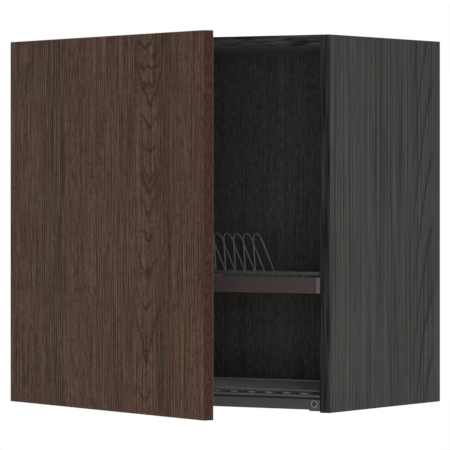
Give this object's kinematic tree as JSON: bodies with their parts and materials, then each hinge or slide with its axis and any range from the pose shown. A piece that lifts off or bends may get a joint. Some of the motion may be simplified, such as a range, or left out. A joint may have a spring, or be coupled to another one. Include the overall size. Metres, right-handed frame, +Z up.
{
  "type": "dish drying cabinet",
  "caption": "Wall cabinet with an open bottom and a hinged door, for drying dishes: a plate rack above, and a glass rack over a drip tray below.",
  "frame": {"origin": "middle of the top panel's rear edge, which lies against the wall", "axes": "+X to the right as seen from the room, +Y into the wall, +Z up"},
  "size_m": [0.6, 0.6492, 0.6],
  "materials": {
    "side_veneer": "dark grey wood-grain board, low sheen",
    "door_veneer": "dark brown wood veneer with upright grain, low sheen",
    "back_board": "thin dark fibreboard with wood grain",
    "dowel_wood": "plain beech",
    "rail_metal": "dark grey-brown coated drawn metal, satin",
    "bracket_plastic": "dark grey moulded plastic",
    "wire_coat": "grey coated wire",
    "tray_plastic": "dark grey plastic, smooth",
    "hinge_steel": "nickel-plated steel",
    "screw_steel": "zinc-plated steel",
    "bumper_plastic": "soft clear bumper"
  },
  "bodies": {
    "cabinet": {"side_panel_left": "side_veneer", "side_panel_right": "side_veneer", "top_panel": "side_veneer", "back_panel": "back_board", "dowel_left_front": "dowel_wood", "dowel_left_rear": "dowel_wood", "hanging_bracket_left": "hinge_steel", "hanging_bracket_left_screw": "screw_steel", "rail_clamp_screw_left": "screw_steel", "dowel_right_front": "dowel_wood", "dowel_right_rear": "dowel_wood", "hanging_bracket_right": "hinge_steel", "hanging_bracket_right_screw": "screw_steel", "rail_clamp_screw_right": "screw_steel", "lower_rail_front": "rail_metal", "lower_bracket_front_left": "bracket_plastic", "lower_bracket_front_right": "bracket_plastic", "lower_rail_rear": "rail_metal", "lower_bracket_rear_left": "bracket_plastic", "lower_bracket_rear_right": "bracket_plastic", "hinge_plate_lower": "hinge_steel", "hinge_arm_lower": "hinge_steel", "hinge_arm_screw_lower": "screw_steel", "hinge_plate_screw_lower_low": "screw_steel", "hinge_plate_screw_lower_high": "screw_steel", "upper_rail_front": "rail_metal", "upper_bracket_front_left": "bracket_plastic", "upper_bracket_front_right": "bracket_plastic", "upper_rail_rear": "rail_metal", "upper_bracket_rear_left": "bracket_plastic", "upper_bracket_rear_right": "bracket_plastic", "hinge_plate_upper": "hinge_steel", "hinge_arm_upper": "hinge_steel", "hinge_arm_screw_upper": "screw_steel", "hinge_plate_screw_upper_low": "screw_steel", "hinge_plate_screw_upper_high": "screw_steel"},
    "inner_links": {"inner_link_lower": "hinge_steel", "inner_link_upper": "hinge_steel"},
    "outer_links": {"outer_link_lower": "hinge_steel", "outer_link_upper": "hinge_steel"},
    "door": {"door_panel": "door_veneer", "door_bumper_lower": "bumper_plastic", "hinge_cup_lower": "hinge_steel", "hinge_cup_screw_lower_low": "screw_steel", "hinge_cup_screw_lower_high": "screw_steel", "door_bumper_upper": "bumper_plastic", "hinge_cup_upper": "hinge_steel", "hinge_cup_screw_upper_low": "screw_steel", "hinge_cup_screw_upper_high": "screw_steel"},
    "plate_rack": {"plate_rack_grid": "wire_coat", "plate_loops": "wire_coat", "plate_rack_front_strip": "rail_metal"},
    "tray": {"drip_tray": "tray_plastic"},
    "glass_grid": {"glass_rack": "wire_coat"}
  },
  "joints": [
    {"name": "door_swing", "type": "hinge", "parent": "inner_links", "child": "door", "pos_m": [-0.28441, -0.38003, -0.291], "axis": [0, 0, -1], "range_deg": [-35.91, 97.09]},
    {"name": "inner_link_swing", "type": "hinge", "parent": "cabinet", "child": "inner_links", "pos_m": [-0.25, -0.3489, -0.291], "axis": [0, 0, 1], "range_deg": [-10.31, 27.79]},
    {"name": "outer_link_swing", "type": "hinge", "parent": "cabinet", "child": "outer_links", "pos_m": [-0.2585, -0.3672, -0.291], "axis": [0, 0, 1], "range_deg": [-13.39, 36.11]},
    {"name": "plate_rack_lift", "type": "slide", "parent": "cabinet", "child": "plate_rack", "axis": [0, 0, 1], "range_m": [0, 0.1]},
    {"name": "tray_lift", "type": "slide", "parent": "cabinet", "child": "tray", "axis": [0, 0, 1], "range_m": [0, 0.022]},
    {"name": "glass_rack_lift", "type": "slide", "parent": "tray", "child": "glass_grid", "axis": [0, 0, 1], "range_m": [0, 0.022]}
  ],
  "couplings": [
    {"joint": "inner_link_swing", "follows": "door_swing", "ratio": 0.28571},
    {"joint": "outer_link_swing", "follows": "door_swing", "ratio": 0.37143}
  ]
}
